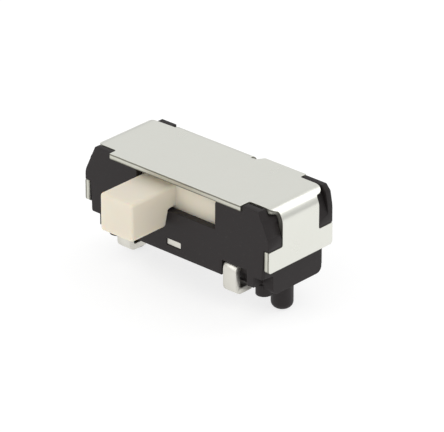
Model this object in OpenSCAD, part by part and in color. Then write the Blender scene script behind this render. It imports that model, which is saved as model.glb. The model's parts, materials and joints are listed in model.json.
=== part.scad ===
// Right-angle slide switch for a circuit board: one pole, two throws.
// X runs along the travel, +Y towards the back, +Z away from the board.
// The origin lies on the board's face, midway between the two locating pegs.

/* [Slider] */
// Length of the slider block along the travel
slider_l = 5.3; // [4.4:0.1:6.4]
// Distance the slider moves from stop to stop
travel = 2.1; // [1.7:0.1:2.5]
// Width of the finger knob along the travel
knob_w = 1.53; // [1.2:0.01:1.9]
// Reach of the knob in front of the housing
knob_reach = 1.89; // [1.2:0.01:2.6]
// Height of the knob's underside above the board
knob_z0 = 1.7; // [1.35:0.01:2.05]
// Height of the knob's top above the board
knob_z1 = 3.15; // [2.75:0.01:3.25]
// Height of the neck's underside where it passes over the front wall
neck_z0 = 2.35; // [2.35:0.01:2.55]
// Play between the slider and the walls around it
slider_play = 0.05; // [0.03:0.01:0.08]

/* [Housing] */
// Depth of the housing from its front face to its back face
body_w = 3.3; // [2.75:0.05:4]
// Thickness of the front and back walls
wall_side = 0.3; // [0.25:0.01:0.36]
// Thickness of the end walls
wall_end = 0.35; // [0.29:0.01:0.42]
// Gap between the board and the underside of the floor
floor_z0 = 0.62; // [0.52:0.01:0.74]
// Thickness of the floor
floor_t = 0.55; // [0.46:0.01:0.66]
// Clear height of the cavity above the floor
cavity_h = 2.21; // [2.15:0.01:2.65]
// Height of the front wall's top in the slot above the board
slot_z0 = 2.27; // [2.05:0.01:2.29]
// Gap between the board and the underside of the end blocks
block_z0 = 0.28; // [0.25:0.01:0.4]
// Length of the end blocks, from the end of the housing inwards
block_l = 1.9; // [1:0.05:2.1]
// Thickness of the four corner posts that stand beside the cover
post_t = 0.25; // [0.2:0.01:0.3]

/* [Locating pegs] */
// Radius of the locating pegs
peg_r = 0.4; // [0.32:0.01:0.48]
// How much wider the pegs' tapered roots are where they meet the end blocks
peg_flare = 0.06; // [0.02:0.01:0.1]
// Depth of the pegs below the board's face
peg_depth = 0.77; // [0.62:0.01:0.95]
// Distance of the pegs' axes from the ends of the housing
peg_inset = 0.6; // [0.5:0.01:0.7]
// Radius of the small standoff nubs
nub_r = 0.3; // [0.24:0.01:0.3]
// Distance of the nubs from the pegs' line
nub_y = 0.92; // [0.8:0.01:1]
// Gap between the board and the tips of the nubs
nub_z0 = 0.08; // [0:0.01:0.12]

/* [Cover] */
// Thickness of the cover's sheet
sheet = 0.22; // [0.15:0.01:0.25]
// Outside radius of the bends at both ends
bend_r = 0.6; // [0.5:0.01:0.72]
// Length of the wide middle part of the cover
wide_l = 6.16; // [5.2:0.01:6.4]
// Overhang of the wide part past the front and back faces
overhang = 0.065; // [0.04:0.005:0.1]
// Extra depth of the notch at the front right corner
notch_extra = 0.14; // [0.1:0.01:0.2]
// Width of the stem that runs down each end
stem_w = 1.88; // [1.6:0.01:2.2]
// Height of the arms' lower edge above the board
arm_z0 = 1.36; // [1.15:0.01:1.55]
// Width of the arms, measured upwards
arm_h = 0.81; // [0.68:0.01:0.9]
// Outside radius of the bend along the back flange
flange_r = 0.33; // [0.3:0.01:0.36]
// Height of the back flange's lower edge above the board
flange_z0 = 2.35; // [2.15:0.01:2.65]

/* [Terminals] */
// Distance of the front leads from the middle
lead_x = 2.52; // [2.1:0.01:2.6]
// Width of a lead
lead_w = 0.6; // [0.5:0.01:0.7]
// Thickness of the terminals' strip
lead_t = 0.24; // [0.16:0.01:0.24]
// Outside radius of the leads' bends
lead_r = 0.3; // [0.26:0.01:0.36]
// Length of the solder feet, from the lead's outer face inwards
foot_l = 0.84; // [0.55:0.01:0.95]
// Half gap between the two throw pads
pad_gap = 0.62; // [0.52:0.01:0.7]
// Width of the common terminal's front tab
tab_w = 0.66; // [0.5:0.01:0.7]

/* [Contacts] */
// Thickness of the moving contact's strip
clip_t = 0.1; // [0.08:0.01:0.12]
// Width of the moving contact along the travel
clip_w = 0.7; // [0.6:0.01:0.85]
// Half distance between the two rows of contact points
row_half = 0.525; // [0.44:0.005:0.55]
// Height of the detent rib on the housing's back wall
rib_h = 0.12; // [0.08:0.01:0.14]
// Thickness of the detent spring
spring_t = 0.08; // [0.06:0.01:0.1]
// Height of the detent spring's strip
spring_w = 1; // [0.8:0.05:1.2]

/* [Hidden] */
$fn = 48;

eps = 0.01;          // overshoot of a cut past the face it opens
fit_gap = 0.03;      // clearance between pieces that are fixed to each other
spring_room = 0.4;   // space behind the slider for the detent spring

// Heights above the board
floor_z1 = floor_z0 + floor_t;
roof_z = floor_z1 + cavity_h;
cover_z1 = roof_z + sheet;
post_z1 = cover_z1 - 0.02;
slider_z0 = floor_z1 + 0.02;
slider_z1 = roof_z - fit_gap;

// Half lengths and half widths
cavity_x = (slider_l + travel) / 2 + slider_play;
body_x = cavity_x + wall_end;
cover_x = body_x + fit_gap + sheet;
body_y = body_w / 2;
cavity_y = body_y - wall_side;
wide_y = body_y + overhang;
wide_x = wide_l / 2;
post_y = body_y - post_t;
neck_y = post_y - fit_gap;
stem_y = stem_w / 2;
bend_x = cover_x - bend_r;
bend_z = cover_z1 - bend_r;
shoulder_x = bend_x + 0.37; // where the shoulder between neck and stem ends
shoulder_back_r = 0.15; // radius of the two back shoulders, squarer than the front ones
rest_x = -travel / 2;

// Slider
slider_front = -cavity_y + slider_play;
slider_back = cavity_y - spring_room;
lug_l = 0.45;
knob_front = -body_y - knob_reach;
knob_tail = 0.22;    // distance of the knob's lower back edge from the wall
neck_gap = 0.05;     // distance of the knob from the wall at the neck
slot_x = knob_w / 2 + travel / 2 + 0.035;
slot_corner = 0.15;

// Housing
hook_x = cover_x - 0.01;
hook_z0 = arm_z0 + arm_h + 0.02;
hook_z1 = roof_z - 0.13;
hook_knee = hook_z0 + 0.36;
post_front_x1 = body_x - 0.25;
post_x0 = wide_x + fit_gap;
post_shoulder = 0.75; // height of the back right post's leaning edge
post_crown = 0.22;   // height of that post's rounded-off top corner
post_lean = 0.1;
post_slope = 0.4;    // how far the back left post's top ends short of the body
corner_z0 = floor_z1 - 0.14;
corner_l = 0.45;     // length of the front corners that end above the floor
back_corner_l = wall_end - 0.03;
block_front = body_y - 0.5;
block_back = body_y - 0.27;
block_corner = 0.25;
peg_x = body_x - peg_inset;
peg_tip_r = 0.25;
peg_root_r = peg_r + peg_flare;
nub_x = peg_x - 0.02;

// Cover flange and the lip beside it
flange_x0 = -wide_x + 0.23;
flange_x1 = flange_x0 + 3.62;
flange_y = neck_y + 0.04;
flange_gap = 0.22;   // relief between the flange and the flat lip
lip_slope = 0.2;     // length of the slanted edge where the lip starts
lip_y = body_y + 0.035;
flange_end_gap = 0.16;
flange_seat = 0.1;   // room below the flange's lower edge
flange_out = flange_y + flange_r;
recess_y = flange_out - sheet - fit_gap;

// Terminals
strip_z0 = floor_z1 - lead_t;
strip_mid = floor_z1 - lead_t / 2;
pocket_x0 = lead_x - lead_w / 2 - 0.05;
pocket_x1 = lead_x + lead_w / 2 + 0.51;
pocket_deep = 0.5;
pocket_z1 = floor_z1 + 0.03;
bend_room = 0.07;    // room above a lead's inner bend
tab_x = -0.1;
tab_sink = 0.03;     // depth of the tab's sheared end in the front wall
row_mid = (slider_front + slider_back) / 2;
row_front = row_mid - row_half;
row_back = row_mid + row_half;
row_w = 0.7;
common_x = travel / 2 + clip_w / 2 + 0.45;

// Moving contact and its pocket in the slider
pocket_l = clip_w + 0.6;
pocket_y = row_half + 0.275;
crown_z = floor_z1 + 0.93;
crown_half = 0.275;
crown_bend = 0.03;   // half length of the bend beside the crown
point_r = 0.09;      // radius of the bend at a contact point
toe = 0.17;          // length of the turned-up toe past a contact point
toe_rise = 0.15;
clip_gap = 0.03;     // height of the contact points above the strip
slit_w = 0.1;
rivet_r = 0.15;
rivet_play = 0.02;

// Detent
rib_r = 0.35;
spring_half = 1.5;
bow_half = 1.1;      // half length of the spring's bowed middle
bow_steps = 8;
spring_seat = slider_back - 0.12;
spring_tip = cavity_y - 0.03;
spring_z = (slider_z0 + slider_z1) / 2;

// Points of an arc about a centre
function arc(c, r, a0, a1, n = 6) =
    [for (i = [0:n]) let (a = a0 + (a1 - a0) * i / n) c + r * [cos(a), sin(a)]];

// Unit normal to the left of the segment from p to q
function left_of(p, q) = let (d = q - p) [-d.y, d.x] / norm(d);

// Mitred normal at point i of a path
function mitre(path, i) =
    let (
        last = len(path) - 1,
        before = left_of(path[max(i - 1, 0)], path[max(i, 1)]),
        after = left_of(path[min(i, last - 1)], path[min(i + 1, last)])
    )
    (before + after) / (1 + before * after);

// Outline of a strip of even thickness t bent along a path
function bent(path, t) = concat(
    [for (i = [0:len(path) - 1]) path[i] + mitre(path, i) * t / 2],
    [for (i = [len(path) - 1:-1:0]) path[i] - mitre(path, i) * t / 2]
);

// A profile drawn in Y and Z, extruded along X between two places
module along_x(x0, x1) {
    translate([x0, 0, 0])
        rotate([90, 0, 90])
            linear_extrude(height = x1 - x0)
                children();
}

// A profile drawn in X and Z, extruded along Y between two places
module along_y(y0, y1) {
    translate([0, y1, 0])
        rotate([90, 0, 0])
            linear_extrude(height = y1 - y0)
                children();
}

module block(lo, hi) {
    translate(lo)
        cube(hi - lo);
}

// Both mirror images of a shape about the YZ plane
module both_ends() {
    children();
    mirror([1, 0, 0])
        children();
}

module both_sides() {
    children();
    mirror([0, 1, 0])
        children();
}

// ---- Terminals ----

// A front lead: flat in the floor, down past the wall and back under the floor
module lead(x, inner_y) {
    mid_r = lead_r - lead_t / 2;
    down_y = -body_y + lead_t / 2;
    turn_y = -body_y + lead_r;
    path = concat(
        [[inner_y, strip_mid]],
        arc([turn_y, strip_mid - mid_r], mid_r, 90, 180),
        arc([turn_y, lead_r], mid_r, 180, 270),
        [[-body_y + foot_l, lead_t / 2]]
    );
    along_x(x - lead_w / 2, x + lead_w / 2)
        polygon(bent(path, lead_t));
}

// The right-hand throw: its pad under the moving contact and its lead
module throw_form() {
    block([pad_gap, row_front - row_w / 2, strip_z0],
        [lead_x + lead_w / 2, row_front + row_w / 2, floor_z1]);
    lead(lead_x, row_front);
}

module common_form() {
    block([-common_x, row_back - row_w / 2, strip_z0],
        [common_x, row_back + row_w / 2, floor_z1]);
    block([tab_x - tab_w / 2, -body_y + tab_sink, strip_z0],
        [tab_x + tab_w / 2, row_back, floor_z1]);
    mirror([0, 1, 0])
        lead(0, -row_back);
}

// Window in the front wall that shows the tab's end
module tab_window() {
    block([tab_x - tab_w / 2, -body_y - eps, strip_z0],
        [tab_x + tab_w / 2, -body_y + tab_sink + eps, floor_z1]);
}

module terminal_right() {
    color([0.84, 0.83, 0.79])
        throw_form();
}

module terminal_left() {
    color([0.84, 0.83, 0.79])
        mirror([1, 0, 0])
            throw_form();
}

module terminal_common() {
    color([0.86, 0.82, 0.78])
        common_form();
}

// ---- Housing ----

// Side view of the body: rounded where the cover's bends pass over it
module body_side() {
    r = bend_r - sheet;
    translate([-body_x, floor_z0])
        square([2 * body_x, roof_z - r - floor_z0]);
    translate([-body_x + r, floor_z0])
        square([2 * (body_x - r), roof_z - floor_z0]);
    for (side = [-1, 1])
        translate([side * (body_x - r), roof_z - r])
            circle(r);
}

// Hooks beside the stem, over the cover's arms
module hook() {
    slope = (hook_x - post_front_x1) / (post_z1 - hook_knee);
    along_y(-body_y, -stem_y - fit_gap)
        polygon([
            [body_x - wall_end, hook_z0],
            [hook_x, hook_z0],
            [hook_x, hook_knee],
            [post_front_x1 + slope * (post_z1 - hook_z1), hook_z1],
            [body_x - wall_end, hook_z1]
        ]);
}

// Front corner post beside the narrow end of the cover, t thick
module front_post(t) {
    along_y(-body_y, -body_y + t)
        polygon([
            [post_x0, hook_z0],
            [hook_x, hook_z0],
            [hook_x, hook_knee],
            [post_front_x1, post_z1],
            [post_x0, post_z1]
        ]);
}

// Back corner post from x0 to the end, with the outline of its outer edge
module back_post(x0, edge) {
    along_y(post_y, body_y)
        polygon(concat(
            [[x0, post_z1], [x0, hook_z0], [hook_x, hook_z0]],
            edge
        ));
}

// Round locating peg with a rounded tip and a tapered root
module peg() {
    rotate_extrude()
        polygon(concat(
            [[0, block_z0 + eps], [0, -peg_depth]],
            arc([peg_r - peg_tip_r, -peg_depth + peg_tip_r], peg_tip_r, 270, 360),
            [[peg_r, nub_z0], [peg_root_r, block_z0], [peg_root_r, block_z0 + eps]]
        ));
}

module end_block() {
    along_x(body_x - block_l, body_x)
        polygon(concat(
            [[-block_front, floor_z1 - eps]],
            arc([-block_front + block_corner, block_z0 + block_corner], block_corner, 180, 270),
            arc([block_back - block_corner, block_z0 + block_corner], block_corner, 270, 360),
            [[block_back, floor_z1 - eps]]
        ));
}

// Front pocket that the lead bends down through
module lead_pocket() {
    under_wall = wall_side - fit_gap;
    block([pocket_x0, -body_y - eps, floor_z0 - eps], [pocket_x1, -body_y + under_wall, pocket_z1]);
    block([pocket_x0, -body_y - eps, floor_z0 - eps],
        [pocket_x1, -body_y + pocket_deep, strip_z0 - bend_room]);
}

// Opening in the front wall for the knob's neck, with rounded upper corners
module slot() {
    r = slot_corner;
    along_y(-body_y - eps, -cavity_y + eps) {
        translate([-slot_x, slot_z0])
            square([2 * slot_x, roof_z]);
        difference() {
            translate([-slot_x - r, roof_z - r])
                square([2 * (slot_x + r), 2 * r]);
            for (side = [-1, 1])
                translate([side * (slot_x + r), roof_z - r])
                    circle(r);
        }
    }
}

module housing() {
    color([0.2, 0.185, 0.185]) {
        difference() {
            union() {
                along_y(-body_y, body_y)
                    body_side();
                both_ends() {
                    both_sides()
                        hook();
                    end_block();
                }
                front_post(post_t + notch_extra);
                back_post(post_x0, [
                    [hook_x, post_z1 - post_shoulder],
                    [hook_x - post_lean, post_z1 - post_crown],
                    [body_x - post_lean / 2, post_z1]
                ]);
                mirror([1, 0, 0]) {
                    front_post(post_t);
                    back_post(-flange_x0 + flange_end_gap, [
                        [hook_x, hook_knee],
                        [body_x - post_slope, post_z1]
                    ]);
                }
            }
            // Cavity
            block([-cavity_x, -cavity_y, floor_z1], [cavity_x, cavity_y, cover_z1]);
            // Corners that end above the floor's underside
            both_ends() {
                block([body_x - corner_l, -body_y - eps, floor_z0 - eps],
                    [hook_x, -block_front, corner_z0]);
                block([body_x - back_corner_l, block_back + eps, floor_z0 - eps],
                    [hook_x, body_y + eps, arm_z0]);
            }
            slot();
            both_ends()
                lead_pocket();
            // Back lead pocket
            mirror([0, 1, 0])
                translate([-lead_x, 0, 0])
                    lead_pocket();
            // Seat of the back flange, and the room that its bend needs
            block([flange_x0 - flange_end_gap, recess_y, flange_z0 - flange_seat],
                [flange_x1 + flange_gap, body_y + eps, cover_z1]);
            block([flange_x0 - flange_end_gap, flange_y, cover_z1 - flange_r],
                [flange_x1 + flange_gap, body_y, cover_z1]);
            common_form();
            tab_window();
            both_ends()
                throw_form();
        }
        // Detent rib in the middle of the back wall
        intersection() {
            translate([0, cavity_y - rib_h + rib_r, floor_z1])
                cylinder(h = cavity_h - fit_gap, r = rib_r);
            block([-rib_r, cavity_y - rib_h - eps, 0], [rib_r, cavity_y + wall_side / 3, cover_z1]);
        }
        both_ends() {
            translate([peg_x, 0, 0])
                peg();
            both_sides()
                translate([nub_x, -nub_y, nub_z0])
                    cylinder(h = block_z0 + block_corner - nub_z0, r = nub_r);
        }
    }
}

// ---- Cover ----

// Side view of a bent channel: outer half length x, top z and bend radius r
module channel(x, z, r) {
    translate([-x, 0])
        square([2 * x, z - r]);
    translate([-x + r, 0])
        square([2 * (x - r), z]);
    for (side = [-1, 1])
        translate([side * (x - r), z - r])
            circle(r);
}

// One corner of the cover's plan: half width y at the neck, then a shoulder of radius r down to the stem
module neck_corner(y, r) {
    x = shoulder_x - r;
    square([x, y]);
    square([shoulder_x, y - r]);
    translate([x, y - r])
        circle(r);
}

// Plan outline of the cover above its bends
module cover_plan() {
    translate([-wide_x, -wide_y])
        square([wide_l, wide_y]);
    translate([-cover_x - eps, -stem_y])
        square([2 * (cover_x + eps), stem_w]);
    mirror([0, 1])
        neck_corner(neck_y - notch_extra, neck_y - notch_extra - stem_y);
    mirror([1, 0])
        mirror([0, 1])
            neck_corner(neck_y, neck_y - stem_y);
    neck_corner(neck_y, shoulder_back_r);
    mirror([1, 0])
        neck_corner(neck_y, shoulder_back_r);
    translate([flange_x0, 0])
        square([flange_x1 - flange_x0 + flange_gap, flange_y]);
    polygon([
        [flange_x1 + flange_gap, 0],
        [flange_x1 + flange_gap, flange_y],
        [flange_x1 + flange_gap + lip_slope, lip_y],
        [wide_x, lip_y],
        [wide_x, 0]
    ]);
}

// End view of the stem and its two arms
module cover_end() {
    r = 0.1;
    translate([-stem_y, arm_z0])
        square([stem_w, cover_z1]);
    translate([-body_y, arm_z0 + r])
        square([body_w, arm_h - r]);
    translate([-body_y + r, arm_z0])
        square([body_w - 2 * r, arm_h]);
    for (side = [-1, 1])
        translate([side * (body_y - r), arm_z0 + r])
            circle(r);
}

module cover() {
    color([0.86, 0.87, 0.84]) {
        intersection() {
            along_y(-wide_y, wide_y)
                difference() {
                    channel(cover_x, cover_z1, bend_r);
                    channel(cover_x - sheet, roof_z, bend_r - sheet);
                }
            union() {
                translate([0, 0, bend_z])
                    linear_extrude(height = bend_r + eps)
                        cover_plan();
                along_x(-cover_x, cover_x)
                    intersection() {
                        cover_end();
                        translate([-body_y, 0])
                            square([body_w, bend_z]);
                    }
            }
        }
        // Flange folded down over the back wall
        along_x(flange_x0, flange_x1)
            difference() {
                union() {
                    translate([flange_y, cover_z1 - flange_r])
                        intersection() {
                            circle(flange_r);
                            square(flange_r);
                        }
                    translate([flange_out - sheet, flange_z0])
                        square([sheet, cover_z1 - flange_r - flange_z0]);
                }
                translate([flange_y, cover_z1 - flange_r])
                    circle(flange_r - sheet);
            }
    }
}

// ---- Slider ----

module slider() {
    color([0.9, 0.87, 0.8])
        translate([rest_x, 0, 0]) {
            difference() {
                union() {
                    block([-slider_l / 2, slider_front, slider_z0],
                        [slider_l / 2, slider_back, slider_z1]);
                    // Guide lugs that run along the back wall
                    both_ends()
                        block([slider_l / 2 - lug_l, slider_back - eps, slider_z0],
                            [slider_l / 2, cavity_y - slider_play, slider_z1]);
                    // Finger knob with the neck that passes over the front wall
                    along_x(-knob_w / 2, knob_w / 2)
                        polygon([
                            [knob_front, knob_z0],
                            [-body_y - knob_tail, knob_z0],
                            [-body_y - neck_gap, neck_z0],
                            [slider_front + eps, neck_z0],
                            [slider_front + eps, knob_z1],
                            [knob_front, knob_z1]
                        ]);
                }
                // Pocket for the moving contact
                block([-pocket_l / 2, row_mid - pocket_y, 0],
                    [pocket_l / 2, row_mid + pocket_y, crown_z + clip_t / 2]);
                // Seat for the detent spring
                block([-spring_half - 2 * slider_play, spring_seat, spring_z - spring_w / 2 - slider_play],
                    [spring_half + 2 * slider_play, cavity_y, spring_z + spring_w / 2 + slider_play]);
            }
            // Rivet post that holds the moving contact
            translate([0, row_mid, crown_z - clip_t])
                cylinder(h = 2 * clip_t, r = rivet_r);
        }
}

// ---- Contacts ----

// Sprung strip with a flat crown, two sloping legs, a contact point on each and a turned-up toe
module moving_contact() {
    low = floor_z1 + clip_gap + clip_t / 2;
    half = concat(
        [[crown_half - crown_bend, crown_z], [crown_half + crown_bend, crown_z - 2 * crown_bend]],
        arc([row_half, low + point_r], point_r, 200, 310, 4),
        [[row_half + toe, low + toe_rise]]
    );
    path = concat(
        [for (i = [len(half) - 1:-1:0]) [row_mid - half[i].x, half[i].y]],
        [for (p = half) [row_mid + p.x, p.y]]
    );
    color([0.8, 0.66, 0.42])
        translate([rest_x, 0, 0])
            difference() {
                along_x(-clip_w / 2, clip_w / 2)
                    polygon(bent(path, clip_t));
                // Each side is split into two fingers
                both_fingers_slit();
                translate([0, row_mid, crown_z - clip_t])
                    cylinder(h = 2 * clip_t, r = rivet_r + rivet_play);
            }
}

// Slits that split each side of the moving contact into two fingers
module both_fingers_slit() {
    for (side = [-1, 1])
        translate([-slit_w / 2, row_mid + side * (crown_half + crown_bend + row_half) - row_half, floor_z1])
            cube([slit_w, 2 * row_half, crown_z - floor_z1 - clip_t]);
}

// Leaf spring behind the slider: its middle bow rides over the housing's rib
module detent_spring() {
    seat = spring_seat + spring_t / 2;
    tip = spring_tip - spring_t / 2;
    bow = [for (i = [-bow_steps:bow_steps])
        [bow_half * i / bow_steps, seat + (tip - seat) * (1 + cos(180 * i / bow_steps)) / 2]];
    path = concat([[-spring_half, seat]], bow, [[spring_half, seat]]);
    color([0.78, 0.78, 0.76])
        translate([rest_x, 0, spring_z - spring_w / 2])
            linear_extrude(height = spring_w)
                polygon(bent(path, spring_t));
}

housing();
cover();
slider();
moving_contact();
detent_spring();
terminal_left();
terminal_right();
terminal_common();
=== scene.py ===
"""Looks of a right-angle slide switch for a circuit board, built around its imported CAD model.

Lengths are written in millimetres times MM, so every piece is in metres in the CAD's own frame.
"""

import json
import math
import bmesh
import bpy
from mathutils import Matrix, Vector


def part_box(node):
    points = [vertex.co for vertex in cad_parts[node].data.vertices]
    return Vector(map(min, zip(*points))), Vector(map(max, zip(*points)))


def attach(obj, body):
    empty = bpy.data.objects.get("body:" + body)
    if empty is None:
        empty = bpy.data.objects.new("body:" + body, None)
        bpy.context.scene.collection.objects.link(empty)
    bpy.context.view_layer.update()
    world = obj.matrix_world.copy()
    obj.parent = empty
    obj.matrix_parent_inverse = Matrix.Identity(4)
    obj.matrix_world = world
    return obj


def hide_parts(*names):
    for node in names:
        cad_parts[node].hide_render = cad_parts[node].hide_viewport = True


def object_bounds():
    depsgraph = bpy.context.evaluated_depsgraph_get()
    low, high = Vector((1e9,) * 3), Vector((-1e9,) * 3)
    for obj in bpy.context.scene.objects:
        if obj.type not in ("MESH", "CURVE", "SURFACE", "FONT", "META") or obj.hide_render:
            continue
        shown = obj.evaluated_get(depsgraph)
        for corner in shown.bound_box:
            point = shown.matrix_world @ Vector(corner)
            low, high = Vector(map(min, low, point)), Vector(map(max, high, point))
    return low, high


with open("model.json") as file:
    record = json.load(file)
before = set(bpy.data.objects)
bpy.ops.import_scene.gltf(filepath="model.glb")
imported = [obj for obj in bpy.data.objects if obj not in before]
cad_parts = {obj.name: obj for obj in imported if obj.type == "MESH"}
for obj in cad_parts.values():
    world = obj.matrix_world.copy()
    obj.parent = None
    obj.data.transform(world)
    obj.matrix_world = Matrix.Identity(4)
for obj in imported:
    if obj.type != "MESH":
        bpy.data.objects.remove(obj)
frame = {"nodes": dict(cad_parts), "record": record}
cad_low, cad_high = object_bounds()

MM = 0.001
DEPTH = "depth"      # vertex attribute: 0 on the cover's outer face and 1 on its inner face
FLOOR_FADE = 300     # distance in mm at which the floor has faded to pale grey
SLIVER = 0.003       # points of the moulding that are nearer than this, in mm, are joined


# ---- Camera ----

CAMERA_AZIMUTH = math.radians(42.44)
CAMERA_ELEVATION = math.radians(26.29)
CAMERA_DISTANCE = 150 * MM
CAMERA_LENS = 348.4
CAMERA_TARGET = Vector((0.472, 0.223, 1.637)) * MM


def add_camera():
    """A long lens looking down at the knob side and the right-hand end."""
    data = bpy.data.cameras.new("camera")
    data.lens = CAMERA_LENS
    data.clip_start = 1 * MM
    data.clip_end = 10
    camera = bpy.data.objects.new("camera", data)
    back = Vector((
        math.sin(CAMERA_AZIMUTH) * math.cos(CAMERA_ELEVATION),
        -math.cos(CAMERA_AZIMUTH) * math.cos(CAMERA_ELEVATION),
        math.sin(CAMERA_ELEVATION),
    ))
    camera.location = CAMERA_TARGET + back * CAMERA_DISTANCE
    camera.rotation_mode = "QUATERNION"
    camera.rotation_quaternion = (-back).to_track_quat("-Z", "Y")
    bpy.context.scene.collection.objects.link(camera)
    bpy.context.scene.camera = camera


# ---- Shader nodes ----


class Wire:
    """A node's output that can be used in Python arithmetic."""

    def __init__(self, nodes, socket):
        self.nodes = nodes
        self.socket = socket

    def _math(self, operation, *values):
        return self.nodes.node("ShaderNodeMath", {"operation": operation}, dict(enumerate(values)))

    def __add__(self, other):
        return self._math("ADD", self, other)

    __radd__ = __add__

    def __sub__(self, other):
        return self._math("SUBTRACT", self, other)

    def __rsub__(self, other):
        return self._math("SUBTRACT", other, self)

    def __mul__(self, other):
        return self._math("MULTIPLY", self, other)

    __rmul__ = __mul__


class Nodes:
    """A node tree whose nodes are all made by node()."""

    def __init__(self, tree):
        self.tree = tree

    def node(self, kind, settings=None, sockets=None, out=0):
        """Makes a node. Returns one of its outputs, by number or name, as a Wire."""
        made = self.tree.nodes.new(kind)
        for name, value in (settings or {}).items():
            if name == "stops":
                self._set_stops(made.color_ramp, value)
            else:
                setattr(made, name, value)
        for name, value in (sockets or {}).items():
            if isinstance(value, Wire):
                self.tree.links.new(value.socket, made.inputs[name])
            else:
                made.inputs[name].default_value = value
        return Wire(self, made.outputs[out])

    @staticmethod
    def _set_stops(ramp, stops):
        while len(ramp.elements) < len(stops):
            ramp.elements.new(0.5)
        for element, (position, value) in zip(ramp.elements, stops):
            element.position = position
            element.color = (value, value, value, 1)

    def ramp(self, value, *stops):
        """A grey that runs through (position, value) stops."""
        return self.node("ShaderNodeValToRGB", {"stops": stops}, {0: value})


class Finish(Nodes):
    """A material. Constants go straight on its shader, and feed() links what varies."""

    def __init__(self, name, constants):
        self.material = bpy.data.materials.new(name)
        self.material.use_nodes = True
        super().__init__(self.material.node_tree)
        self.shader = self.tree.nodes["Principled BSDF"]
        for socket, value in constants.items():
            self.shader.inputs[socket].default_value = value
        place = self.node("ShaderNodeTexCoord", out="Object")
        # Object coordinates in millimetres
        self.place = self.node("ShaderNodeVectorMath", {"operation": "SCALE"}, {0: place, "Scale": 1 / MM})

    def noise(self, size, detail=3, stretch=(1, 1, 1), rough=0.5):
        """Noise about 0.5 whose features are size mm across, longer along an axis with a small stretch."""
        place = self.node("ShaderNodeVectorMath", {"operation": "MULTIPLY"}, {0: self.place, 1: stretch})
        return self.node("ShaderNodeTexNoise", {}, {
            "Vector": place, "Scale": 1 / size, "Detail": detail, "Roughness": rough,
        })

    def blend(self, mask, first, second):
        """The first colour where mask is 0 and the second where it is 1."""
        sockets = {"Factor": mask}
        for index, colour in ((6, first), (7, second)):
            sockets[index] = colour if isinstance(colour, Wire) else (*colour, 1)
        return self.node("ShaderNodeMix", {"data_type": "RGBA"}, sockets, out=2)

    def bump(self, height, depth, under=None):
        """A normal from a height, where a height of 1 stands depth mm high."""
        sockets = {"Height": height, "Distance": depth * MM, "Strength": 1}
        if under:
            sockets["Normal"] = under
        return self.node("ShaderNodeBump", {}, sockets)

    def feed(self, **links):
        """Links wires to the shader, such as base_color, roughness and normal."""
        for name, wire in links.items():
            self.tree.links.new(wire.socket, self.shader.inputs[name.replace("_", " ").title()])
        return self.material


# ---- Finishes ----


def black_plastic():
    """Moulded near-black plastic: a fine spark-eroded grain with slight flow marks."""
    f = Finish("black_plastic", {"IOR": 1.46, "Specular IOR Level": 0.36})
    grain = f.noise(0.035, detail=2)
    flow = f.noise(1.1, detail=3, stretch=(0.5, 1, 1))
    specks = f.ramp(f.noise(0.09, detail=1), (0.66, 0), (0.74, 1))
    colour = f.blend(flow, (0.0115, 0.0085, 0.0085), (0.0175, 0.0135, 0.0138))
    colour = f.blend(specks * 0.25, colour, (0.042, 0.037, 0.035))
    rough = 0.5 + 0.12 * flow + 0.1 * (grain - 0.5)
    normal = f.bump(grain, 0.0022, under=f.bump(flow, 0.012))
    return f.feed(base_color=colour, roughness=rough, normal=normal)


def plated_sheet():
    """Bright tin plate on rolled sheet: faint rolling lines, soft clouding and a few scuffs."""
    f = Finish("plated_sheet", {"Metallic": 1.0})
    lines = f.noise(0.05, detail=3, stretch=(0.04, 1, 1))
    cloud = f.noise(1.6, detail=4)
    pits = f.ramp(f.noise(0.07, detail=2), (0.68, 0), (0.8, 1))
    scuffs = f.ramp(f.noise(0.16, detail=4, stretch=(0.12, 1, 1), rough=0.7), (0.62, 0), (0.72, 1))
    colour = f.blend(cloud, (0.735, 0.74, 0.68), (0.785, 0.785, 0.73))
    colour = f.blend(0.35 * pits, colour, (0.6, 0.6, 0.55))
    rough = 0.24 + 0.1 * cloud + 0.08 * scuffs
    normal = f.bump(lines, 0.0008, under=f.bump(cloud, 0.02))
    return f.feed(base_color=colour, roughness=rough, normal=normal)


def sheared_edge():
    """The cover's cut edges, with light and shade painted across the thickness: a painted highlight and a
    painted dark line at the corner, a bright burnished band that is partly painted sheen, then a torn band
    darkened with painted shade.
    """
    f = Finish("sheared_edge", {"Metallic": 1.0})
    depth = f.node("ShaderNodeAttribute", {"attribute_name": DEPTH}, out="Fac")
    torn = f.noise(0.05, detail=4, stretch=(0.6, 0.6, 1), rough=0.65)
    patches = f.noise(0.3, detail=3, stretch=(0.4, 0.4, 1))
    wavy = depth + 0.16 * (patches - 0.5) + 0.08 * (torn - 0.5)
    # Across the thickness, from the outer face: a painted highlight, a painted dark line, the burnished
    # band, then painted shade towards the inner face
    burnish_and_painted_light = f.ramp(wavy, (0.0, 0.9), (0.1, 0.15), (0.24, 0.2), (0.36, 1), (0.74, 0.85), (0.92, 0.1))
    colour = f.blend(burnish_and_painted_light, (0.1, 0.095, 0.075), (0.69, 0.685, 0.61))
    colour = f.blend(0.3 * torn, colour, (0.3, 0.29, 0.24))
    rough = 0.5 - 0.2 * burnish_and_painted_light + 0.15 * torn
    return f.feed(base_color=colour, roughness=rough, normal=f.bump(torn, 0.01))


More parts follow.
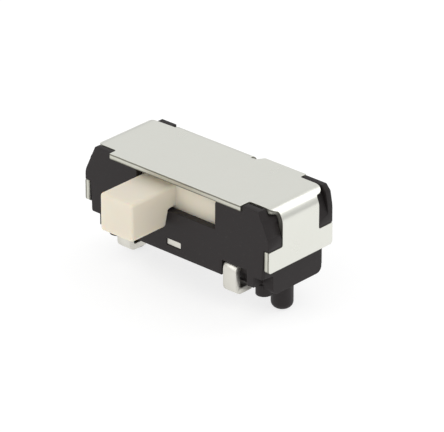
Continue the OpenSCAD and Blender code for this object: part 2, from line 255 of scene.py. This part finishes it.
def ivory_plastic():
    """Moulded ivory plastic, slightly translucent, with a satin skin."""
    f = Finish("ivory_plastic", {
        "Subsurface Weight": 0.55,
        "Subsurface Radius": (1.0, 0.72, 0.45),
        "Subsurface Scale": 0.35 * MM,
        "IOR": 1.49,
        "Specular IOR Level": 0.4,
    })
    cloud = f.noise(0.9, detail=3)
    grain = f.noise(0.04, detail=2)
    colour = f.blend(cloud, (0.765, 0.70, 0.575), (0.80, 0.745, 0.63))
    rough = 0.42 + 0.1 * cloud + 0.06 * (grain - 0.5)
    normal = f.bump(grain, 0.0012, under=f.bump(cloud, 0.01))
    return f.feed(base_color=colour, roughness=rough, normal=normal)


def tinned_strip(name, light, dark):
    """Satin tin plate on the terminals, with drawn lines round their bends."""
    f = Finish(name, {"Metallic": 1.0})
    drawn = f.noise(0.045, detail=3, stretch=(1, 0.1, 0.1))
    cloud = f.noise(0.35, detail=4)
    colour = f.blend(cloud, dark, light)
    rough = 0.34 + 0.16 * cloud
    normal = f.bump(drawn, 0.0012, under=f.bump(cloud, 0.006))
    return f.feed(base_color=colour, roughness=rough, normal=normal)


def contact_alloy():
    """Rolled phosphor bronze, with faint rolling lines and a clouded tone."""
    f = Finish("contact_alloy", {"Metallic": 1.0})
    lines = f.noise(0.04, detail=3, stretch=(1, 0.08, 0.3))
    cloud = f.noise(0.5, detail=3)
    colour = f.blend(cloud, (0.66, 0.42, 0.19), (0.76, 0.55, 0.29))
    return f.feed(base_color=colour, roughness=0.24 + 0.14 * cloud, normal=f.bump(lines, 0.0008))


def spring_steel():
    """Rolled stainless strip."""
    f = Finish("spring_steel", {"Metallic": 1.0})
    lines = f.noise(0.035, detail=3, stretch=(0.06, 0.5, 1))
    cloud = f.noise(0.6, detail=3)
    colour = f.blend(cloud, (0.5, 0.5, 0.48), (0.62, 0.62, 0.6))
    return f.feed(base_color=colour, roughness=0.26 + 0.12 * cloud, normal=f.bump(lines, 0.0008))


def pale_floor():
    """A white sweep that glows like a light table and fades to pale grey far from the object."""
    f = Finish("pale_floor", {"Roughness": 0.9, "Specular IOR Level": 0.1, "Emission Strength": 0.74})
    reach = f.node("ShaderNodeVectorMath", {"operation": "LENGTH"}, {0: f.place}, out="Value")
    glow = f.ramp(reach * (1 / FLOOR_FADE), (0.1, 1), (0.3, 0.8), (1, 0.7))
    paint = f.blend(f.noise(9.0, detail=2), (0.33, 0.33, 0.328), (0.345, 0.345, 0.343))
    return f.feed(base_color=paint, emission_color=glow)


# ---- Mesh helpers ----


def merged_copy(node):
    """A CAD node's mesh with its loose triangles joined and its flat faces whole again."""
    mesh = bmesh.new()
    mesh.from_mesh(frame["nodes"][node].data)
    bmesh.ops.remove_doubles(mesh, verts=mesh.verts, dist=0.0005 * MM)
    bmesh.ops.dissolve_limit(mesh, angle_limit=math.radians(0.5), verts=mesh.verts, edges=mesh.edges)
    return mesh


def sharp_edges(mesh, chosen=lambda edge: True, angle=30):
    """Edges that turn by more than angle degrees and that chosen() accepts."""
    limit = math.radians(angle)
    return [e for e in mesh.edges if e.is_manifold and e.calc_face_angle() > limit and chosen(e)]


def round_edges(mesh, edges, radius, segments=3):
    bmesh.ops.bevel(mesh, geom=edges, offset=radius * MM, offset_type="OFFSET", segments=segments,
                    profile=0.5, affect="EDGES", clamp_overlap=True, material=-1)


def add_piece(name, mesh, materials, body, *nodes):
    """Makes a smooth-shaded object from a bmesh, rides it on a body and has it stand for CAD nodes."""
    data = bpy.data.meshes.new(name)
    for face in mesh.faces:
        face.smooth = True
    mesh.to_mesh(data)
    mesh.free()
    for material in materials:
        data.materials.append(material)
    piece = bpy.data.objects.new(name, data)
    bpy.context.scene.collection.objects.link(piece)
    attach(piece, body)
    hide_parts(*nodes)
    return piece


def soften(piece, width, segments=2, angle=32):
    """Rounds a piece's remaining sharp edges."""
    bevel = piece.modifiers.new("soft_edges", "BEVEL")
    bevel.width = width * MM
    bevel.segments = segments
    bevel.limit_method = "ANGLE"
    bevel.angle_limit = math.radians(angle)
    bevel.harden_normals = True
    bevel.use_clamp_overlap = False
    bevel.miter_outer = "MITER_ARC"
    shading = piece.modifiers.new("flat_shading", "WEIGHTED_NORMAL")
    shading.mode = "FACE_AREA"
    shading.weight = 100
    shading.keep_sharp = True


slot_of = {part["node"]: part["material_slot"] for part in frame["record"]["subparts"]}


# ---- Cover ----

SHEET = 0.22         # thickness
BEND_R = 0.6         # outer radius of the bends down the ends
FLANGE_R = 0.33      # outer radius of the flange's bend
BEND_STEPS = 16
FLANGE_STEPS = 10
NOTCH_STEPS = 6


def cover():
    """The cover as it is really made: a flat blank that is folded at both ends and along the back."""
    low, high = (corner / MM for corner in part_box("cover"))
    top, out_x = high.z, high.x
    bend_x, bend_z = out_x - BEND_R, top - BEND_R
    quarter = BEND_R * math.pi / 2
    # Half widths of the blank: the wide middle, the neck, the stem over the bend, and the arms
    front_y, lip_y = -low.y, 1.685
    neck, neck_front_right = 1.37, 1.23
    stem, arm_y = 0.94, 1.65
    # Places along the blank
    wide_x = 3.08
    arm_top_z = 2.17
    arm_top = bend_x + quarter + bend_z - arm_top_z
    arm_end = bend_x + quarter + bend_z - low.z
    front_reach = 0.37
    back_radius, back_reach = 0.3, 0.44
    # The flange, and the notch beside its right-hand end
    flange_y, flange_low_z = 1.41, 2.35
    flange_x0, flange_x1 = -2.85, 0.77
    flange_quarter = FLANGE_R * math.pi / 2
    flange_end = flange_y + flange_quarter + top - FLANGE_R - flange_low_z
    notch_width, notch_slope, relief = 0.22, 0.2, 0.03

    def arc(cx, cy, r, start, stop, steps=6):
        turn = (stop - start) / steps
        angles = [math.radians(start + turn * i) for i in range(steps + 1)]
        return [(cx + r * math.cos(a), cy + r * math.sin(a)) for a in angles]

    def unrolled(x):
        return x if x < bend_x else bend_x + BEND_R * math.asin(min((x - bend_x) / BEND_R, 1))

    def shoulder(half, radius, reach):
        """The neck's round corner, which ends reach past the bend's start, and its fillet into the stem."""
        x, y = bend_x + reach - radius, half - radius
        root = 0.1
        turn = math.asin(max(stem + root - y, 0) / (radius + root))
        root_x = x + (radius + root) * math.cos(turn)
        turn = math.degrees(turn)
        points = arc(x, y, radius, 90, turn, 10) + arc(root_x, stem + root, root, 180 + turn, 270, 5)
        return [(unrolled(px), py) for px, py in points]

    def corner(half, radius, reach):
        """One end's outline from the notch to the arm's lower corner, with x and y positive."""
        notch, inner, upper, lower = 0.1, 0.07, 0.05, 0.12
        points = arc(wide_x + notch, half + notch, notch, 180, 270, NOTCH_STEPS)
        points += shoulder(half, radius, reach)
        points += arc(arm_top - inner, stem + inner, inner, 270, 360, 4)
        points += arc(arm_top + upper, arm_y - upper, upper, 180, 90, 4)
        points += arc(arm_end - lower, arm_y - lower, lower, 90, 0, 5)
        return points

    def front_corner(half):
        return corner(half, half - stem, front_reach)

    def flipped(points, sx, sy):
        return [(x * sx, y * sy) for x, y in points]

    back_corner = corner(neck, back_radius, back_reach)
    notch_x, notch_y = flange_x1 + notch_width, flange_y - relief
    outline = [(wide_x, -front_y)]
    outline += flipped(front_corner(neck_front_right), 1, -1)
    outline += back_corner[::-1]
    outline += [(wide_x, lip_y), (notch_x + notch_slope, lip_y)]
    outline += [(notch_x, notch_y), (flange_x1, notch_y)]
    outline += [(flange_x1, flange_end), (flange_x0, flange_end), (flange_x0, flange_y)]
    # The flange takes the place of the left-hand back notch
    outline += flipped(back_corner[NOTCH_STEPS + 1:], -1, 1)
    outline += flipped(front_corner(neck), -1, -1)[::-1]
    outline += [(-wide_x, -front_y)]

    mesh = bmesh.new()
    blank = mesh.faces.new([mesh.verts.new((x, y, 0)) for x, y in outline])
    under = bmesh.ops.extrude_face_region(mesh, geom=[blank])["geom"]
    under_verts = [part for part in under if isinstance(part, bmesh.types.BMVert)]
    bmesh.ops.translate(mesh, verts=under_verts, vec=(0, 0, -SHEET))
    bmesh.ops.recalc_face_normals(mesh, faces=mesh.faces)

    def cut(place, direction, right_end=math.inf):
        """Splits the faces left of right_end along a plane."""
        parts = [part for group in (mesh.edges, mesh.faces) for part in group
                 if all(vert.co.x < right_end for vert in part.verts)]
        verts = [vert for vert in mesh.verts if vert.co.x < right_end]
        bmesh.ops.bisect_plane(mesh, geom=verts + parts, plane_co=place, plane_no=direction, dist=1e-6)

    for step in range(BEND_STEPS + 1):
        for side in (-1, 1):
            cut((side * (bend_x + quarter * step / BEND_STEPS), 0, 0), (1, 0, 0))
    cut((flange_x1, 0, 0), (1, 0, 0))
    for step in range(FLANGE_STEPS + 1):
        cut((0, flange_y + flange_quarter * step / FLANGE_STEPS, 0), (0, 1, 0), right_end=flange_x1 + 0.001)
    mesh.normal_update()
    for face in mesh.faces:
        face.material_index = 1 if abs(face.normal.z) < 0.5 else 0

    def fold(distance, radius, inside):
        """How far out and how far down a point goes that lies distance past a bend's start."""
        turned = min(distance / radius, math.pi / 2)
        straight = max(distance - radius * math.pi / 2, 0)
        out = (radius - inside) * math.sin(turned)
        down = radius - (radius - inside) * math.cos(turned) + straight
        return out, down

    depth = mesh.verts.layers.float.new(DEPTH)
    for vert in mesh.verts:
        x, y, z = vert.co
        vert[depth] = -z / SHEET
        down = -z
        if abs(x) > bend_x:
            out, down = fold(abs(x) - bend_x, BEND_R, -z)
            x = math.copysign(bend_x + out, x)
        elif y > flange_y and x < flange_x1 + 0.01:
            out, down = fold(y - flange_y, FLANGE_R, -z)
            y = flange_y + out
        vert.co = Vector((x, y, top - down)) * MM

    materials = [FINISH["plated_sheet"], FINISH["sheared_edge"]]
    piece = add_piece("cover_sheet", mesh, materials, "base", "cover")
    soften(piece, 0.018, angle=50)
    return piece


# ---- Moulded pieces ----


def split_faces(mesh, on_wall, places):
    """Cuts a wall's faces at places along X in mm, so that none of them reaches round an opening."""
    for x in places:
        faces = [face for face in mesh.faces if all(on_wall(vert.co / MM) for vert in face.verts)]
        # Each corner and edge once, in an order that is the same each run
        groups = [group for face in faces for group in (face.verts, face.edges)]
        parts = dict.fromkeys(part for group in groups for part in group)
        place = (x * MM, 0, 0)
        bmesh.ops.bisect_plane(mesh, geom=[*parts, *faces], plane_co=place, plane_no=(1, 0, 0), dist=1e-7)


def true_round(mesh, x, y, profile, low, high, cuts=3):
    """Splits the coarse rings of a round post at (x, y) and moves their points out to its profile, in mm."""
    axis = Vector((x, y)) * MM
    on_ring, near_ring = 0.004, 0.02
    least_turn = math.radians(3)

    def off(vert):
        return (vert.co.xy - axis).length / MM

    def on_post(vert, slack):
        return low < vert.co.z / MM < high and abs(off(vert) - profile(vert.co.z / MM)) < slack

    def along_ring(edge):
        first, second = ((v.co.xy - axis).normalized() for v in edge.verts)
        return first.dot(second) < math.cos(least_turn)

    rings = [e for e in mesh.edges if all(on_post(v, on_ring) for v in e.verts) and along_ring(e)]
    bmesh.ops.subdivide_edges(mesh, edges=rings, cuts=cuts, use_grid_fill=True)
    for vert in mesh.verts:
        if on_post(vert, near_ring):
            vert.co.xy = axis + (vert.co.xy - axis).normalized() * profile(vert.co.z / MM) * MM


def housing():
    """The black moulding: the CAD solid with its pegs made round and its edges softened."""
    mesh = merged_copy("housing")
    peg = next(m for m in frame["record"]["mounts"] if m["name"] == "locating_peg_right")
    peg_x = peg["pos_m"][0] / MM
    peg_r = peg["dims"]["r_mm"]
    tip_z = cad_low.z / MM
    # The pegs' rounded tips and slight flare, and the nubs beside them
    tip_r, flare, nub_z, block_z = 0.25, 0.06, 0.08, 0.28
    nub_x, nub_y, nub_r, nub_top_z = peg_x - 0.02, 0.92, 0.3, 0.7
    # Places just inside the corner posts and the front corners, which tell their edges from the rest
    post_x, post_z, knee_z = 3.6, 2.5, 3
    end_x, front_y, floor_y = 4.09, -1.6, -1.1
    foot_z, ledge_z, hook_z, short = 0.9, 2, 2.2, 0.3
    # The slot and the flange's recess
    wall_y, slot_x = 1.34, 2.0
    recess_x0, recess_x1, recess_y, roof_z = -3.01, 0.99, 1.39, 3.5

    def peg_profile(z):
        if z < tip_z + tip_r:
            return peg_r - tip_r + math.sqrt(max(tip_r ** 2 - (tip_z + tip_r - z) ** 2, 0))
        return peg_r + flare * max(z - nub_z, 0) / (block_z - nub_z)

    for side in (-1, 1):
        true_round(mesh, side * peg_x, 0, peg_profile, tip_z - 0.01, block_z + 0.01)
        for y in (-nub_y, nub_y):
            true_round(mesh, side * nub_x, y, lambda z: nub_r, 0, nub_top_z)

    def on_post_edge(edge):
        """Edges along Y on the corner posts' outlines."""
        first, second = (v.co / MM for v in edge.verts)
        outer = abs(first.x) > post_x and first.z > post_z
        beside_flange = first.x < recess_x0 + 0.1 and first.y > recess_y and first.z > roof_z
        return (outer or beside_flange) and (first - second).xz.length < 0.001

    def on_front_corner(edge):
        """Upright edges at the front corners, and the lower corners that end above the floor."""
        first, second = (v.co / MM for v in edge.verts)
        at_end = abs(first.x) > end_x and abs(second.x) > end_x
        at_front = first.y < front_y and second.y < front_y
        upright = at_front and foot_z < first.z < hook_z and abs(first.z - second.z) > short
        lower = first.y < floor_y and foot_z < first.z < ledge_z and abs(first.y - second.y) > short
        return at_end and (upright or lower)

    def on_post_knee(edge):
        return on_post_edge(edge) and edge.verts[0].co.z < knee_z * MM

    def on_post_top(edge):
        return on_post_edge(edge) and edge.verts[0].co.z > knee_z * MM

    round_edges(mesh, sharp_edges(mesh, on_post_knee, angle=8), 0.26, segments=5)
    round_edges(mesh, sharp_edges(mesh, on_post_top, angle=12), 0.14, segments=5)
    round_edges(mesh, sharp_edges(mesh, on_front_corner), 0.1, segments=4)
    bmesh.ops.remove_doubles(mesh, verts=mesh.verts, dist=SLIVER * MM)
    split_faces(mesh, lambda place: place.y < -wall_y, (-slot_x, slot_x))
    split_faces(mesh, lambda place: place.y > wall_y, (recess_x0, recess_x1))
    piece = add_piece("housing_moulding", mesh, [FINISH["black_plastic"]], "base", "housing")
    soften(piece, 0.018)
    return piece


def slider():
    """The ivory moulding, with the knob's front and long edges well rounded."""
    mesh = merged_copy("slider")
    knob_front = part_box("slider")[0].y

    def on_knob(edge):
        """Edges of the knob's front face and those that run back from it."""
        return any(v.co.y < knob_front + 0.01 * MM for v in edge.verts)

    round_edges(mesh, sharp_edges(mesh, on_knob), 0.12, segments=5)
    piece = add_piece("slider_moulding", mesh, [FINISH["ivory_plastic"]], "slider", "slider")
    soften(piece, 0.04, angle=40)
    return piece


def terminal(node):
    """A terminal with its stamped edges just broken."""
    piece = add_piece(node + "_strip", merged_copy(node), [FINISH["tinned_strip"]], "base", node)
    soften(piece, 0.02, angle=40)
    return piece


# ---- Floor and lights ----


def add_floor():
    mesh = bmesh.new()
    bmesh.ops.create_grid(mesh, x_segments=1, y_segments=1, size=3.0)
    bmesh.ops.translate(mesh, verts=mesh.verts, vec=(0, 0, cad_low.z - 0.002 * MM))
    data = bpy.data.meshes.new("floor")
    mesh.to_mesh(data)
    mesh.free()
    data.materials.append(FINISH["pale_floor"])
    floor = bpy.data.objects.new("floor", data)
    bpy.context.scene.collection.objects.link(floor)


def add_softbox(name, place, size, power):
    """A square soft light, size mm wide, at a place in mm and aimed at the object."""
    data = bpy.data.lights.new(name, "AREA")
    data.shape = "SQUARE"
    data.size = size * MM
    data.energy = power
    light = bpy.data.objects.new(name, data)
    light.location = Vector(place) * MM
    light.rotation_mode = "QUATERNION"
    light.rotation_quaternion = (CAMERA_TARGET - light.location).to_track_quat("-Z", "Y")
    bpy.context.scene.collection.objects.link(light)


def add_lights():
    """A bright tent of light, a little darker round the horizon, with two soft boxes."""
    world = bpy.data.worlds.new("studio")
    world.use_nodes = True
    sky = Nodes(world.node_tree)
    direction = sky.node("ShaderNodeTexCoord", out="Generated")
    height = sky.node("ShaderNodeSeparateXYZ", {}, {0: direction}, out="Z")
    stops = (0.4, 0.8), (0.5, 0.62), (0.6, 0.7), (0.7, 0.92), (0.8, 0.9), (1, 0.68)
    glow = sky.ramp(0.5 * height + 0.5, *stops)
    world.node_tree.links.new(glow.socket, world.node_tree.nodes["Background"].inputs["Color"])
    bpy.context.scene.world = world
    add_softbox("key", (-60, -110, 90), size=90, power=0.035)
    add_softbox("back", (36, 80, 80), size=60, power=0.015)
    bpy.context.scene.view_settings.view_transform = "Standard"


# ---- Assembly ----

FINISH = {
    "black_plastic": black_plastic(),
    "plated_sheet": plated_sheet(),
    "sheared_edge": sheared_edge(),
    "ivory_plastic": ivory_plastic(),
    "tinned_strip": tinned_strip("tinned_strip", (0.765, 0.75, 0.695), (0.66, 0.645, 0.585)),
    "contact_alloy": contact_alloy(),
    "spring_steel": spring_steel(),
    "pale_floor": pale_floor(),
}

add_camera()
add_floor()
add_lights()
cover()
housing()
slider()
for side in ("left", "right", "common"):
    terminal("terminal_" + side)
for node in ("moving_contact", "detent_spring"):
    slots = frame["nodes"][node].material_slots
    slots[0].material = FINISH[slot_of[node]]
